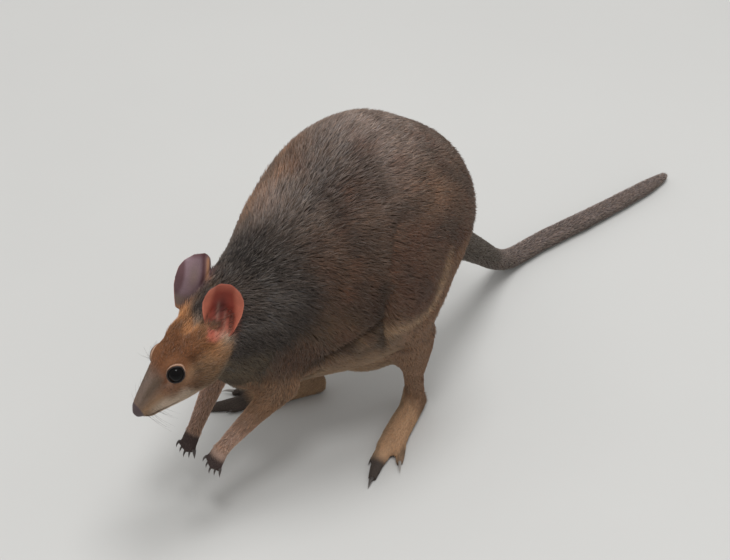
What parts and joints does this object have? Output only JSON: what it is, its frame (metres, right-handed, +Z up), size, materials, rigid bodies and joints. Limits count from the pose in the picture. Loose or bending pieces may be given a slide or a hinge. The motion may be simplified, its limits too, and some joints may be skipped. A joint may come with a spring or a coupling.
{
  "type": "red-legged pademelon",
  "caption": "Life-size still model of a red-legged pademelon, a small forest wallaby, leaning forward on its hind feet and tail with its forepaws lifted.",
  "frame": {"origin": "on the floor, at the middle of the bounding box's base, between the hind legs", "axes": "+Z up, -Y the way the animal faces, +X to the animal's own left"},
  "size_m": [0.205, 0.7656, 0.3428],
  "materials": {
    "charcoal_fur": "soft grizzled fur",
    "claw": "smooth horn",
    "dark_brown_fur": "short fur",
    "ear_skin": "thin bare skin",
    "eye": "wet and glossy",
    "grey_brown_fur": "soft grizzled fur",
    "nose_skin": "moist bare skin",
    "pale_buff_fur": "soft fur",
    "pale_tail_fur": "short sparse fur",
    "rufous_fur": "short dense fur",
    "tan_fur": "short fur",
    "warm_brown_fur": "soft fur"
  },
  "bodies": {
    "root": {"belly": "grey_brown_fur", "chest": "charcoal_fur", "ear_left": "ear_skin", "ear_right": "ear_skin", "eye_left": "eye", "eye_right": "eye", "foot_left": "tan_fur", "foot_right": "tan_fur", "fore_claw_left_1": "claw", "fore_claw_left_2": "claw", "fore_claw_left_3": "claw", "fore_claw_left_4": "claw", "fore_claw_left_5": "claw", "fore_claw_right_1": "claw", "fore_claw_right_2": "claw", "fore_claw_right_3": "claw", "fore_claw_right_4": "claw", "fore_claw_right_5": "claw", "forearm_left": "tan_fur", "forearm_right": "tan_fur", "head": "rufous_fur", "hind_claw_left_2": "claw", "hind_claw_left_3": "claw", "hind_claw_left_4": "claw", "hind_claw_left_5": "claw", "hind_claw_right_2": "claw", "hind_claw_right_3": "claw", "hind_claw_right_4": "claw", "hind_claw_right_5": "claw", "lower_jaw": "pale_buff_fur", "neck": "charcoal_fur", "nose": "nose_skin", "paw_left": "dark_brown_fur", "paw_right": "dark_brown_fur", "pouch": "pale_buff_fur", "rump": "warm_brown_fur", "shank_left": "pale_buff_fur", "shank_right": "pale_buff_fur", "tail_1": "grey_brown_fur", "tail_2": "grey_brown_fur", "tail_3": "pale_tail_fur", "tail_4": "pale_tail_fur", "thigh_left": "warm_brown_fur", "thigh_right": "warm_brown_fur", "upper_arm_left": "warm_brown_fur", "upper_arm_right": "warm_brown_fur"}
  },
  "joints": []
}
